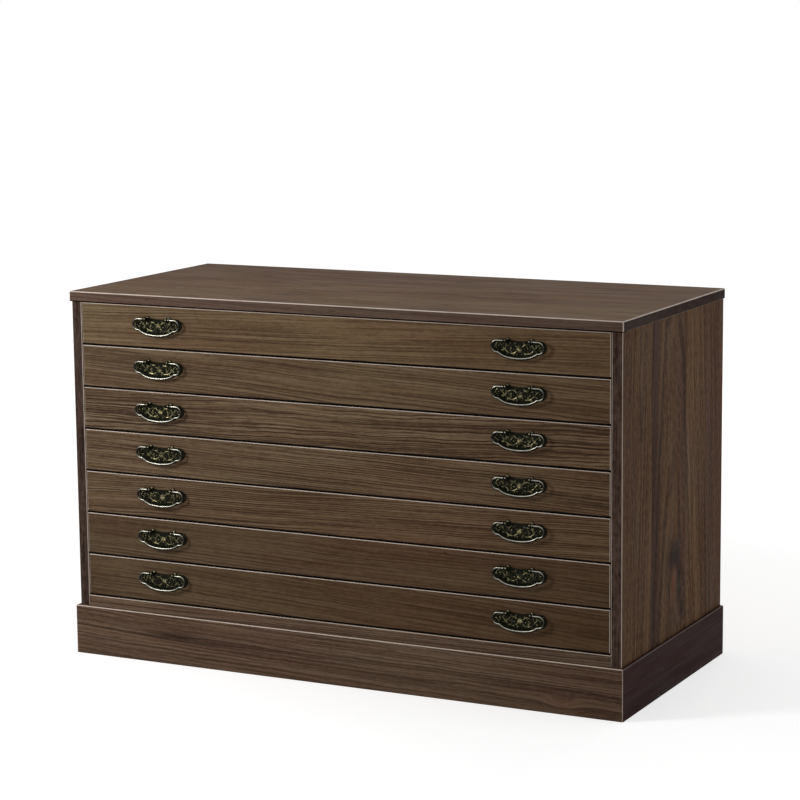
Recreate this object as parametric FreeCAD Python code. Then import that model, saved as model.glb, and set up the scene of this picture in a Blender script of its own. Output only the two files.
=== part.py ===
"""A low clothing chest of paulownia: seven wide drawers with drop pulls, on a plinth.

Millimetres. +X is to the right of someone who faces the chest, the drawers open
towards -Y, and +Z is up. The origin is on the floor, under the middle of the whole
chest with its pulls.
"""
import FreeCAD
import Part

import math
import os

Vector = FreeCAD.Vector

# The whole chest
carcass_width = 989.0
carcass_depth = 442.5
chest_height = 620.0
drawer_count = 7

# Boards of the carcass
side_thickness = 18.0
top_thickness = 17.0
bottom_thickness = 18.0
back_thickness = 9.0
back_rebate_depth = 9.0
top_side_overhang = 2.5
top_front_overhang = 4.0
top_chamfer = 1.4
panel_chamfer = 1.0

# Plinth, a mitred frame that stands proud of the carcass
plinth_height = 83.0
plinth_thickness = 20.0
plinth_side_overhang = 5.5
plinth_front_overhang = 7.5
plinth_chamfer = 1.4
corner_block_leg = 40.0
corner_block_lift = 12.0

# Drawer fronts, flush with the carcass
front_gap = 1.5
front_thickness = 18.0
front_lip = 8.0
front_chamfer = 1.0

# Drawer boxes behind the fronts
wall_thickness = 12.0
wall_inset = 0.5
wall_drop = 5.0
back_wall_drop = 9.0
box_lift = 2.0
drawer_bottom_thickness = 6.0
drawer_back_gap = 3.0

# Wooden runners on the side panels, in grooves of the drawer walls
runner_height = 12.0
runner_rise = 30.0
runner_play = 0.3
runner_nose_gap = 1.0
groove_depth = 6.0
groove_setback = 12.0
stop_gap = 0.5

# Drop pulls: the places of the two pulls of a drawer, and of the pins in their posts
pull_spacing = 650.0
post_spacing = 41.0
pin_rise = 14.3
bail_stand_off = 8.4

# Outline of a bail, from the middle of its bow out to the round end by its post
wire_radius = 2.1
bow_radius = 96.0
bow_turn = 10.0
shoulder_radius = 35.5
shoulder_turn = 27.0
pinch_radius = 2.8
pinch_turn = 42.0
lobe_radius = 9.1
half_turn = 180.0

# Ends of a bail
pin_radius = 1.5
pin_play = 0.05
pin_end_gap = 0.5
collar_radius = 2.9
collar_length = 2.4
collar_rounding = 0.8
collar_gap = 0.3

# Posts with their nuts
eye_radius = 3.8
eye_half_width = 3.0
neck_radius = 2.2
foot_radius = 3.6
foot_thickness = 1.0
shank_radius = 2.0
shank_play = 0.1
shank_end = 1.2
nut_across_flats = 7.0
nut_thickness = 3.2
nut_play = 0.05
nut_sides = 6

# Plate behind a bail
plate_thickness = 1.2
plate_margin = 1.2
plate_dip = 1.6
boss_radius = 4.4

# How far a cutting tool runs past what it cuts, and how near counts as the same place
overrun = 1.0
same_place = 0.001

# Levels and faces that follow from the sizes above
pull_projection = bail_stand_off + eye_radius
whole_depth = carcass_depth + max(pull_projection, plinth_front_overhang)
back_y = whole_depth / 2
front_y = back_y - carcass_depth
inner_back_y = back_y - back_thickness
side_x = carcass_width / 2
inner_x = side_x - side_thickness
top_underside_z = chest_height - top_thickness
opening_bottom_z = plinth_height + bottom_thickness
opening_height = top_underside_z - opening_bottom_z
front_height = (opening_height - front_gap * (drawer_count + 1)) / drawer_count
drawer_pitch = front_height + front_gap
front_x = inner_x - front_gap
wall_x = front_x - wall_inset
front_back_y = front_y + front_thickness
lip_y = front_y + front_lip
box_back_y = inner_back_y - drawer_back_gap
pin_y = front_y - bail_stand_off
plate_face_y = front_y - plate_thickness


def box(x0, x1, y0, y1, z0, z1):
    """A block between two corners."""
    return Part.makeBox(x1 - x0, y1 - y0, z1 - z0, Vector(x0, y0, z0))


def prism(points, z0, z1):
    """An upright prism over an outline drawn in plan."""
    corners = [Vector(x, y, z0) for x, y in points]
    outline = Part.makePolygon(corners + corners[:1])
    return Part.Face(outline).extrude(Vector(0, 0, z1 - z0))


def rod_along_y(radius, y0, y1, x, z):
    """A round rod from y0 to y1."""
    return Part.makeCylinder(radius, y1 - y0, Vector(x, y0, z), Vector(0, 1, 0))


def rod_along_x(radius, x0, x1, y, z):
    """A round rod from x0 to x1."""
    return Part.makeCylinder(radius, x1 - x0, Vector(x0, y, z), Vector(1, 0, 0))


def near(a, b):
    """Whether two coordinates are the same place."""
    return abs(a - b) < same_place


def eased(shape, size, wanted):
    """The shape with a chamfer on each edge whose middle is wanted."""
    edges = [edge for edge in shape.Edges if wanted(edge.CenterOfMass)]
    return shape.makeChamfer(size, edges)


def one_solid(shape):
    """The single solid of a boolean result, with its split faces merged."""
    return shape.removeSplitter().Solids[0]


# Carcass


def top_board():
    """The top board, eased along its front and side edges."""
    half_width = side_x + top_side_overhang
    board_front_y = front_y - top_front_overhang
    board = box(-half_width, half_width, board_front_y, back_y, top_underside_z, chest_height)

    def exposed(middle):
        upright = not near(middle.z, chest_height) and not near(middle.z, top_underside_z)
        if upright:
            return near(middle.y, board_front_y)
        return near(middle.y, board_front_y) or near(abs(middle.x), half_width)

    return eased(board, top_chamfer, exposed)


def side_panel(sign):
    """A side panel with a rebate for the back panel and eased front edges."""
    outer_x = sign * side_x
    edge_x = sign * inner_x
    panel = box(min(outer_x, edge_x), max(outer_x, edge_x), front_y, back_y, plinth_height, top_underside_z)

    def upright_front(middle):
        between = plinth_height + same_place < middle.z < top_underside_z - same_place
        return near(middle.y, front_y) and between

    panel = eased(panel, panel_chamfer, upright_front)
    rebate_ends = sorted((edge_x - sign * overrun, edge_x + sign * back_rebate_depth))
    rebate = box(*rebate_ends, inner_back_y, back_y + overrun,
                 plinth_height - overrun, top_underside_z + overrun)
    return one_solid(panel.cut(rebate))


def back_panel():
    """The back panel, in the rebates of both side panels."""
    half_width = inner_x + back_rebate_depth
    return box(-half_width, half_width, inner_back_y, back_y, plinth_height, top_underside_z)


def bottom_board():
    """The bottom board, whose front edge shows as a rail under the lowest drawer."""
    board = box(-inner_x, inner_x, front_y, inner_back_y, plinth_height, opening_bottom_z)

    def upper_front(middle):
        return near(middle.y, front_y) and near(middle.z, opening_bottom_z)

    return eased(board, panel_chamfer, upper_front)


plinth_x = side_x + plinth_side_overhang
plinth_front_y = front_y - plinth_front_overhang
plinth_inner_x = plinth_x - plinth_thickness
plinth_inner_front_y = plinth_front_y + plinth_thickness
plinth_inner_back_y = back_y - plinth_thickness


def plinth_front():
    """The plinth's front board, mitred at both ends, with the corner arris taken off."""
    corner_x = plinth_x - plinth_chamfer / 2
    corner_y = plinth_front_y + plinth_chamfer / 2
    right = [
        (plinth_x - plinth_chamfer, plinth_front_y),
        (corner_x, corner_y),
        (plinth_inner_x, plinth_inner_front_y),
    ]
    left = [(-x, y) for x, y in reversed(right)]
    board = prism(right + left, 0, plinth_height)

    def upper_front(middle):
        return near(middle.z, plinth_height) and middle.y < corner_y + same_place

    return eased(board, plinth_chamfer, upper_front)


def plinth_side(sign):
    """A side board of the plinth, mitred where it meets the front board."""
    outline = [
        (sign * plinth_x, plinth_front_y + plinth_chamfer),
        (sign * (plinth_x - plinth_chamfer / 2), plinth_front_y + plinth_chamfer / 2),
        (sign * plinth_inner_x, plinth_inner_front_y),
        (sign * plinth_inner_x, back_y),
        (sign * plinth_x, back_y),
    ]
    board = prism(outline, 0, plinth_height)

    def upper_outer(middle):
        return near(middle.z, plinth_height) and abs(middle.x) > plinth_x - plinth_chamfer / 2 - same_place

    return eased(board, plinth_chamfer, upper_outer)


def plinth_back():
    """The plinth's back board, between the side boards."""
    return box(-plinth_inner_x, plinth_inner_x, plinth_inner_back_y, back_y, 0, plinth_height)


def corner_blocks():
    """Four three-cornered blocks inside the plinth, which also bear the bottom board."""
    blocks = []
    for x in (-plinth_inner_x, plinth_inner_x):
        for y in (plinth_inner_front_y, plinth_inner_back_y):
            leg_x = -math.copysign(corner_block_leg, x)
            leg_y = -math.copysign(corner_block_leg, y)
            outline = [(x, y), (x + leg_x, y), (x, y + leg_y)]
            blocks.append(prism(outline, corner_block_lift, plinth_height))
    return blocks


# Places of the drawers


def front_bottom_z(number):
    """The lower edge of a drawer's front; drawer 1 is the topmost."""
    return opening_bottom_z + front_gap + (drawer_count - number) * drawer_pitch


def runner_z(number):
    """The underside of the runners of a drawer."""
    return front_bottom_z(number) + runner_rise


groove_front_y = front_back_y + groove_setback
runner_inner_x = wall_x - groove_depth + runner_nose_gap


def drawer_runners():
    """Two strips for each drawer, fixed to the side panels."""
    strips = []
    for number in range(1, drawer_count + 1):
        z0 = runner_z(number)
        z1 = z0 + runner_height
        y0 = groove_front_y + stop_gap
        strips.append(box(-inner_x, -runner_inner_x, y0, inner_back_y, z0, z1))
        strips.append(box(runner_inner_x, inner_x, y0, inner_back_y, z0, z1))
    return strips


# Drawers


def post_places(number):
    """The x and z of the four posts of a drawer, from left to right."""
    z = front_bottom_z(number) + front_height / 2 + pin_rise
    return [
        (side * pull_spacing / 2 + end * post_spacing / 2, z)
        for side in (-1, 1)
        for end in (-1, 1)
    ]


def drawer_front(number):
    """A drawer's front board: eased face, rebates behind for the walls and the bottom."""
    z0 = front_bottom_z(number)
    z1 = z0 + front_height
    board = box(-front_x, front_x, front_y, front_back_y, z0, z1)
    board = eased(board, front_chamfer, lambda middle: near(middle.y, front_y))
    bottom_top_z = z0 + box_lift + drawer_bottom_thickness
    end_x = front_x + overrun
    end_y = front_back_y + overrun
    cuts = [box(-end_x, end_x, lip_y, end_y, z0 - overrun, bottom_top_z)]
    wall_inner_x = wall_x - wall_thickness
    for x0, x1 in ((-end_x, -wall_inner_x), (wall_inner_x, end_x)):
        cuts.append(box(x0, x1, lip_y, end_y, z0 - overrun, z1 - wall_drop))
    for x, z in post_places(number):
        cuts.append(rod_along_y(shank_radius + shank_play, front_y - overrun, end_y, x, z))
    return one_solid(board.cut(cuts))


def drawer_walls(number):
    """The two side walls, grooved for the runners, and the back wall between them."""
    front_z = front_bottom_z(number)
    z0 = front_z + box_lift + drawer_bottom_thickness
    z1 = front_z + front_height - wall_drop
    groove_z0 = runner_z(number) - runner_play
    groove_z1 = runner_z(number) + runner_height + runner_play
    walls = []
    for sign in (-1, 1):
        x0, x1 = sorted((sign * wall_x, sign * (wall_x - wall_thickness)))
        wall = box(x0, x1, lip_y, box_back_y, z0, z1)
        groove_ends = sorted((sign * (wall_x + overrun), sign * (wall_x - groove_depth)))
        groove = box(*groove_ends, groove_front_y, box_back_y + overrun, groove_z0, groove_z1)
        walls.append(one_solid(wall.cut(groove)))
    between_x = wall_x - wall_thickness
    back_top_z = front_z + front_height - back_wall_drop
    walls.append(box(-between_x, between_x, box_back_y - wall_thickness, box_back_y, z0, back_top_z))
    return walls


def drawer_bottom(number):
    """The bottom board, under the walls and in the rebate of the front."""
    z0 = front_bottom_z(number) + box_lift
    return box(-wall_x, wall_x, lip_y, box_back_y, z0, z0 + drawer_bottom_thickness)


# Drop pulls


def traced(start_x, start_z, moves):
    """Tangent arcs in the plane of the bail, which set out along +X.

    Each move is a radius and a turn in degrees, to the left where it is positive.
    Returns the edges and the last point.
    """
    edges = []
    heading = 0.0
    x, z = start_x, start_z
    for radius, turn in moves:
        side = math.copysign(1, turn)
        centre_x = x - side * radius * math.sin(heading)
        centre_z = z + side * radius * math.cos(heading)
        points = []
        for share in (0, 0.5, 1):
            direction = heading + math.radians(turn) * share
            point_x = centre_x + side * radius * math.sin(direction)
            point_z = centre_z - side * radius * math.cos(direction)
            points.append(Vector(point_x, pin_y, point_z))
        edges.append(Part.Arc(*points).toShape())
        heading += math.radians(turn)
        x, z = points[-1].x, points[-1].z
    return edges, x, z


def bail_moves(margin):
    """The arcs of half a bail, from its lowest point, drawn outside it by a margin."""
    lobe_turn = half_turn - bow_turn - shoulder_turn + pinch_turn
    return [
        (bow_radius + margin, bow_turn),
        (shoulder_radius + margin, shoulder_turn),
        (pinch_radius - margin, -pinch_turn),
        (lobe_radius + margin, lobe_turn),
    ]


def bail_height():
    """How far the pins lie above the lowest point of the wire's middle."""
    edges, x, z = traced(0, 0, bail_moves(0))
    return z


def mirrored(edges):
    """The same edges on the other side of the middle of a pull."""
    return [edge.mirror(Vector(0, 0, 0), Vector(1, 0, 0)) for edge in edges]


collar_inner_x = post_spacing / 2 + eye_half_width + collar_gap
collar_outer_x = collar_inner_x + collar_length
pin_end_x = post_spacing / 2 - eye_half_width + pin_end_gap


def bail_end(sign, z):
    """The collar and the pin at one end of a bail."""
    collar_ends = sorted((sign * collar_inner_x, sign * collar_outer_x))
    collar = rod_along_x(collar_radius, *collar_ends, pin_y, z)
    rims = [edge for edge in collar.Edges if near(edge.Length, 2 * math.pi * collar_radius)]
    collar = collar.makeFillet(collar_rounding, rims)
    pin_ends = sorted((sign * pin_end_x, sign * (collar_inner_x + collar_length / 2)))
    return collar.fuse(rod_along_x(pin_radius, *pin_ends, pin_y, z))


def bail(x, pin_z):
    """One bail: a round wire bowed into a crescent with a lobe at each end."""
    edges, lobe_end_x, z = traced(0, pin_z - bail_height(), bail_moves(0))
    straight_end = Vector(collar_outer_x - collar_length / 2, pin_y, pin_z)
    edges.append(Part.makeLine(Vector(lobe_end_x, pin_y, pin_z), straight_end))
    wire = Part.Wire(Part.sortEdges(edges + mirrored(edges))[0])
    start = wire.OrderedVertexes[0].Point
    circle = Part.Wire(Part.makeCircle(wire_radius, start, Vector(1, 0, 0)))
    rod = wire.makePipeShell([circle], True, False)
    whole = rod.fuse([bail_end(-1, pin_z), bail_end(1, pin_z)])
    placed = one_solid(whole)
    placed.translate(Vector(x, 0, 0))
    return placed


def pull_plate(x, pin_z):
    """One plate behind a bail: its outline follows the bail, with a round boss at each post."""
    low_z = pin_z - bail_height() - plate_margin
    edges, lobe_end_x, top_z = traced(0, low_z, bail_moves(plate_margin))
    top = Part.makeLine(Vector(lobe_end_x, pin_y, top_z), Vector(-lobe_end_x, pin_y, top_z))
    outline = Part.Wire(Part.sortEdges(edges + mirrored(edges) + [top])[0])
    outline.translate(Vector(0, plate_face_y - pin_y, 0))
    plate = Part.Face(outline).extrude(Vector(0, plate_thickness, 0))
    dip_half_width = post_spacing / 2 - boss_radius
    dip_radius = (dip_half_width ** 2 + plate_dip ** 2) / (2 * plate_dip)
    dip_z = top_z - plate_dip + dip_radius
    cut_ends = (plate_face_y - overrun, front_y + overrun)
    plate = plate.cut(rod_along_y(dip_radius, *cut_ends, 0, dip_z))
    for post_x in (-post_spacing / 2, post_spacing / 2):
        plate = plate.fuse(rod_along_y(boss_radius, plate_face_y, front_y, post_x, pin_z))
    for post_x in (-post_spacing / 2, post_spacing / 2):
        plate = plate.cut(rod_along_y(shank_radius + shank_play, *cut_ends, post_x, pin_z))
    placed = one_solid(plate)
    placed.translate(Vector(x, 0, 0))
    return placed


def eye_post(x, z):
    """One post: a round head with flat cheeks and an eye, a foot on the plate, and a shank."""
    head = Part.makeSphere(eye_radius, Vector(x, pin_y, z))
    cheeks = box(x - eye_half_width, x + eye_half_width, pin_y - eye_radius, pin_y + eye_radius,
                 z - eye_radius, z + eye_radius)
    head = head.common(cheeks)
    neck = rod_along_y(neck_radius, pin_y, plate_face_y, x, z)
    foot = rod_along_y(foot_radius, plate_face_y - foot_thickness, plate_face_y, x, z)
    shank_end_y = front_back_y + nut_thickness + shank_end
    shank = rod_along_y(shank_radius, plate_face_y, shank_end_y, x, z)
    eye = rod_along_x(pin_radius + pin_play, x - eye_radius, x + eye_radius, pin_y, z)
    return one_solid(head.fuse([neck, foot, shank]).cut(eye))


def nut(x, z):
    """One six-sided nut on the end of a post, inside the drawer."""
    corner_radius = nut_across_flats / 2 / math.cos(math.pi / nut_sides)
    corners = []
    for index in range(nut_sides + 1):
        angle = 2 * math.pi * index / nut_sides
        corner_x = x + corner_radius * math.cos(angle)
        corner_z = z + corner_radius * math.sin(angle)
        corners.append(Vector(corner_x, front_back_y, corner_z))
    body = Part.Face(Part.makePolygon(corners)).extrude(Vector(0, nut_thickness, 0))
    hole_ends = (front_back_y - overrun, front_back_y + nut_thickness + overrun)
    return one_solid(body.cut(rod_along_y(shank_radius + nut_play, *hole_ends, x, z)))


def save(name, *solids):
    """Writes one named piece, or a group of them, as a STEP file."""
    shape = solids[0] if len(solids) == 1 else Part.makeCompound(list(solids))
    shape.exportStep("parts/" + name + ".step")


def save_carcass():
    """Writes the pieces that stand still."""
    save("top_board", top_board())
    save("left_side_panel", side_panel(-1))
    save("right_side_panel", side_panel(1))
    save("back_panel", back_panel())
    save("bottom_board", bottom_board())
    save("plinth_front", plinth_front())
    save("plinth_left_side", plinth_side(-1))
    save("plinth_right_side", plinth_side(1))
    save("plinth_back", plinth_back())
    save("plinth_corner_blocks", *corner_blocks())
    save("drawer_runners", *drawer_runners())


def save_drawer(number):
    """Writes one drawer with its two pulls."""
    name = "drawer_" + str(number)
    places = post_places(number)
    pin_z = places[0][1]
    save(name + "_front", drawer_front(number))
    save(name + "_walls", *drawer_walls(number))
    save(name + "_bottom", drawer_bottom(number))
    posts = [eye_post(x, z) for x, z in places]
    nuts = [nut(x, z) for x, z in places]
    save(name + "_pull_posts", *posts, *nuts)
    plates = []
    for side, x in (("left", -pull_spacing / 2), ("right", pull_spacing / 2)):
        plates.append(pull_plate(x, pin_z))
        save(name + "_" + side + "_pull", bail(x, pin_z))
    save(name + "_pull_plates", *plates)


os.makedirs("parts", exist_ok=True)
save_carcass()
for drawer_number in range(1, drawer_count + 1):
    save_drawer(drawer_number)
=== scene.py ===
"""The looks of a low paulownia clothing chest: stained boards, cast drop pulls, light and camera.

Metres, in the chest's own frame: +X is to the right of someone who faces the chest, its
drawers open towards -Y, and +Z is up. Colours are linear.
"""

import math
from collections import namedtuple

import bmesh
import bpy
from mathutils import Matrix, Vector


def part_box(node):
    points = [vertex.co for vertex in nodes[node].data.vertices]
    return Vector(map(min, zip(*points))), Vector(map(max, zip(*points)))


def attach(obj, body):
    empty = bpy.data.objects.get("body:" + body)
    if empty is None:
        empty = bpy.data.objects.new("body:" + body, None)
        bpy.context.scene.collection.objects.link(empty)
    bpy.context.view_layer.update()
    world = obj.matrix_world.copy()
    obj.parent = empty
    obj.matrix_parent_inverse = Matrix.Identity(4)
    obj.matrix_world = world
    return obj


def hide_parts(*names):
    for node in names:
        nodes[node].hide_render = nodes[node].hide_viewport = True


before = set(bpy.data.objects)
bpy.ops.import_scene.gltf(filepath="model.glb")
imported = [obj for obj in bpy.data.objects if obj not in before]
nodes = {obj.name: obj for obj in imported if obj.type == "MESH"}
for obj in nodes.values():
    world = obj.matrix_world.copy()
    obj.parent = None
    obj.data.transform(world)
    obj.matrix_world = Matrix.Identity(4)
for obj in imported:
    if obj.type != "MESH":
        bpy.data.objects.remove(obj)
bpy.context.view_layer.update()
mm = 0.001


def colour(red, green, blue):
    """A linear colour with full alpha."""
    return (red, green, blue, 1.0)


# Places read from the frame
front_low, front_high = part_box("drawer_1_front")
front_y = front_low.y
front_back_y = front_high.y
plate_face_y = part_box("drawer_1_pull_plates")[0].y
bail_low, bail_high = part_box("drawer_1_left_pull")
pin_y = (bail_low.y + bail_high.y) / 2
side_low, side_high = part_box("right_side_panel")
side_inner_x = side_low.x
top_underside_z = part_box("top_board")[0].z
plinth_inner_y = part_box("plinth_front")[1].y
plinth_inner_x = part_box("plinth_right_side")[0].x
plinth_back_inner_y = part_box("plinth_back")[0].y
drawer_fronts = [name for name in nodes if name.startswith("drawer_") and name.endswith("_front")]
drawer_numbers = [int(name.split("_")[1]) for name in drawer_fronts]
sides = ("left", "right")

# Camera, at the photograph's angle
camera_place = (1.9281, -3.7852, 1.1376)
camera_azimuth_deg = 26.881
camera_elevation_deg = 9.393
camera_roll_deg = -0.572
focal_length_px = 2579.3
picture_width_px = 800
sensor_width_mm = 36.0

# Lamps, with their place, target, size in metres and power in watts, and a pale surround and floor
lamps = (
    ("key", (-1.05, -1.3, 1.05), (-0.1, 0.0, 0.35), 0.4, 14),
    ("right_fill", (2.6, 0.4, 1.2), (0.4, 0.0, 0.3), 1.4, 7),
    ("back_fill", (0.3, 2.9, 1.6), (0.0, 0.2, 0.3), 1.4, 12),
)
surround_strength = 0.35
floor_width = 60
floor_grey = 0.8
floor_roughness = 0.9
floor_glow_distances = (0.8, 2.2)
floor_glow_levels = (0.58, 0.76)

# Colours of the stained wood, from its light parts to its dark ones, and of its knots
stain_light = colour(0.205, 0.150, 0.092)
stain_olive = colour(0.158, 0.106, 0.058)
stain_brown = colour(0.138, 0.084, 0.046)
stain_red = colour(0.130, 0.074, 0.044)
stain_dark = colour(0.034, 0.020, 0.013)
# The darkest colour here is painted shade, put on down-facing eased edges and along a drawer front's foot
painted_shade_under = colour(0.004, 0.003, 0.003)
knot_light = colour(0.20, 0.112, 0.066)
knot_dark = colour(0.011, 0.007, 0.006)

# Colours of the raw wood
raw_light = colour(0.60, 0.46, 0.30)
raw_middle = colour(0.52, 0.38, 0.24)
raw_dark = colour(0.33, 0.215, 0.125)

# Colours of upper eased edges, partly wear and partly painted highlight, and tints of the boards' narrow
# faces
worn_edge_highlight = colour(0.60, 0.50, 0.42)
top_worn_edge_highlight = colour(0.70, 0.60, 0.52)
front_worn_edge_highlight = colour(0.68, 0.575, 0.49)
plinth_side_worn_edge_highlight = colour(0.13, 0.10, 0.09)
top_end_tint = colour(0.30, 0.333, 0.52)
top_front_tint = colour(0.67, 0.715, 0.97)
right_front_tint = colour(0.72, 0.86, 1.27)
left_front_tint = colour(0.49, 0.60, 0.92)
# The drawer fronts' narrow faces are darkened partly as stain and partly as painted shade in the gaps between
# drawers
joint_stain_and_shade_tint = colour(0.35, 0.35, 0.38)

# Where the stain ends behind the front, the skin of a raw face, and the painted shade along a drawer front's
# foot
stain_reach = 12 * mm
skin = 0.5 * mm
foot_shade_height = 2.3 * mm
limit_blur = 0.3 * mm
past_front = ("Y", 1, front_y + stain_reach)

# Noises of the wood: waves per metre along the fibres, waves per metre across them, and detail
wander_noise = (1.3, 4.0, 2.0)
ripple_noise = (14.0, 45.0, 2.0)
fading_noise = (3.0, 90.0, 3.0)
hue_noise = (3.0, 16.0, 2.0)
fleck_noise = (90.0, 170.0, 3.0)
dash_noise = (32.0, 560.0, 2.0)
pore_noise = (80.0, 1500.0, 1.0)
rubbing_noise = (22.0, 60.0, 3.0)
roughness_noise = (6.0, 90.0, 2.0)
raw_patch_noise = (1.2, 9.0, 2.0)
raw_pore_noise = (40.0, 1300.0, 1.0)
raw_fibre_noise = (30.0, 1300.0, 1.0)

# Noises that follow the growth rings: those of bands and drift have a share of a wave to each ring
thread_noise = (3.5, 460.0, 1.0)
band_waves = 1.2
band_share = 0.5
drift_waves = 0.6
drift_share = 0.14
drift_rings = 4.0
soft_detail = 2.0
noise_middle = 0.5

# Where each mask sets in and where it is full, on a noise or phase of 0 to 1
line_start_span = (0.50, 0.86)
line_end_span = (1.0, 0.90)
fading_span = (0.38, 0.58)
fading_levels = (0.15, 1.0)
hue_span = (0.40, 0.60)
red_span = (0.56, 0.70)
band_spans = {"dark": (0.50, 0.72), "light": (0.50, 0.30)}
thread_spans = {"dark": (0.50, 0.66), "light": (0.50, 0.34)}
fleck_spans = {"dark": (0.50, 0.62), "light": (0.50, 0.38)}
dash_span = (0.54, 0.70)
pore_span = (0.58, 0.72)
rubbing_span = (0.25, 0.55)
rubbing_levels = (0.75, 1.0)
roughness_span = (0.3, 0.7)
raw_patch_span = (0.38, 0.62)
raw_thread_span = (0.50, 0.68)

# The same on a face's direction: eased edges lean away from every axis
eased_span = (0.97, 0.85)
downward_span = (-0.1, -0.5)
facing_span = (0.9, 0.99)

# Strengths of the masks that boards have alike
light_patch_share = 1.4
dark_fleck_share = 0.6
dash_share = 0.7
pore_strength = 0.5
raw_thread_strength = 0.35
raw_line_strength = 0.55
raw_pore_strength = 0.4

# Surface of the wood
raw_spacing = 7 * mm
stained_roughness = (0.42, 0.56)
raw_roughness = (0.62, 0.78)
raw_end_roughness = 0.22
wood_gloss = 0.015
top_gloss = 0.008
bump_strength = 0.25
wood_relief = 0.3 * mm

# Axes along, across and through a board, by the way its grain runs. Seeds set boards apart in the noise
grain_axes = {"X": (0, 2, 1), "Y": (1, 0, 2), "Z": (2, 1, 0)}
depth_share = 0.1
seed_step = 3.7
front_seed = 20
wall_seed = 30
bottom_seed = 40


def figure(heart=0, heart_depth=40, taper=0.02, wander=20, ripple=3):
    """How a board was cut: where the heart of the tree lay, in millimetres, and how the rings wave."""
    return {"heart": heart * mm, "heart_depth": heart_depth * mm, "taper": taper, "wander": wander * mm,
            "ripple": ripple * mm}


def board_look(tint, lines=0.5, dashes=0.4, patches=0.25, red=0.4, spacing=6.0, flecks=0.14):
    """How strongly a stained board shows each part of its colour; its ring spacing in millimetres."""
    return {"tint": colour(*tint), "lines": lines, "dashes": dashes, "patches": patches, "red": red,
            "spacing": spacing * mm, "flecks": flecks}


# Looks: tint, lines, dashes, patches, red, ring spacing in millimetres and flecks. Cuts: heart, its
# depth, taper, wander and ripple. Those of the drawer fronts go by the drawer's number from the top
top_look = board_look((1.19, 1.09, 1.06), 0.35, 0.3, 0.15, 0.5, 9.0, 0.08)
panel_look = board_look((0.77, 0.595, 0.525), 0.40, 0.6, 0.35, 0.6, 7.0, 0.5)
rail_look = board_look((1.02, 0.98, 1.12), 0.8, 0.5, 0.4, 0.4, 3.4)
plinth_look = board_look((0.93, 0.87, 0.98), 0.6, 0.55, 0.35, 0.7, 6.0)
# The plinth's sides are tinted far darker than the side panels that face the same way: partly painted shade
plinth_side_look = board_look((0.22, 0.13, 0.20), 0.3, 0.3, 0.3, 0.9, 8.0)
plinth_back_look = board_look((0.7, 0.64, 0.64), 0.3)
drawer_looks = {
    1: board_look((1.04, 1.02, 0.99), 0.55, 0.42, 0.15, 0.30, 5.0),
    2: board_look((0.97, 0.96, 0.96), 0.70, 0.50, 0.20, 0.40, 4.6),
    3: board_look((1.03, 1.01, 1.03), 1.10, 0.80, 0.40, 0.40, 5.2),
    4: board_look((1.00, 0.99, 1.00), 1.00, 0.62, 0.25, 0.30, 4.0),
    5: board_look((0.98, 0.94, 0.94), 1.00, 0.62, 0.20, 0.40, 3.4),
    # Drawers 6 and 7 are tinted darker: partly their own tone, partly painted shade of the light's fall
    # towards the bottom
    6: board_look((0.72, 0.68, 0.68), 0.50, 0.42, 0.20, 0.40, 5.0),
    7: board_look((0.71, 0.66, 0.65), 0.55, 0.42, 0.25, 0.50, 6.0),
}
drawer_cuts = {
    1: figure(700, 40, 0.020, 24, 3.0),
    2: figure(428, 34, 0.034, 26, 3.5),
    3: figure(352, 40, -0.020, 30, 6.0),
    4: figure(250, 40, 0.030, 24, 3.0),
    5: figure(186, 36, -0.025, 22, 3.0),
    6: figure(120, 40, 0.020, 26, 3.0),
    7: figure(44, 40, 0.040, 30, 4.0),
}
top_cut = figure(0, 150, 0.01, 60, 4)
panel_cut = figure(0, 200, 0.03, 30, 4)
rail_cut = figure(190, 50, 0.01, 12, 2)
plinth_front_cut = figure(-40, 34, 0.02, 34, 5)
plinth_right_cut = figure(30, 60)
plinth_left_cut = figure(50, 60)
plinth_back_cut = figure(40, 40)
back_cut = figure(0, 220, 0.02, 40)
drawer_bottom_cut = figure(0, 120)
straight_cut = figure(0, 200)

# Tones from one side of a board to the other, some of them its staves: the share of the way, then
# red, green and blue
right_stave_shares = (
    (0.00, 0.96, 0.96, 0.96), (0.20, 1.06, 1.08, 1.04), (0.272, 1.12, 1.14, 1.10), (0.282, 0.52, 0.50, 0.66),
    (0.33, 0.60, 0.58, 0.70), (0.37, 1.06, 1.08, 1.06), (0.52, 0.98, 0.98, 0.98), (0.61, 0.92, 0.88, 0.88),
    (0.622, 1.20, 1.24, 1.16), (0.70, 1.22, 1.22, 1.10), (0.81, 1.02, 0.98, 0.94), (0.822, 0.86, 0.80, 0.82),
    (1.00, 0.98, 0.93, 0.92),
)
left_stave_shares = (
    (0.00, 1.02, 1.0, 0.98), (0.21, 0.96, 0.94, 0.94), (0.22, 1.14, 1.14, 1.08), (0.44, 1.10, 1.08, 1.04),
    (0.45, 0.84, 0.80, 0.82), (0.66, 0.90, 0.87, 0.88), (0.67, 1.08, 1.06, 1.0), (0.86, 1.0, 0.98, 0.96),
    (0.87, 0.74, 0.71, 0.76), (1.00, 0.84, 0.81, 0.84),
)
# The top darkens smoothly towards its back: painted shade, not staves
top_back_shade_shares = (
    (0.00, 1.0, 1.0, 1.0), (0.25, 1.0, 1.0, 0.95), (0.475, 0.88, 0.80, 0.74), (0.70, 0.84, 0.78, 0.76),
    (1.00, 0.83, 0.77, 0.75),
)
front_tone_shares = (
    (0.00, 1.0, 1.03, 1.05), (0.37, 1.02, 1.02, 1.02), (0.65, 1.07, 1.04, 1.03), (0.95, 0.96, 0.91, 0.88),
)

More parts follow.
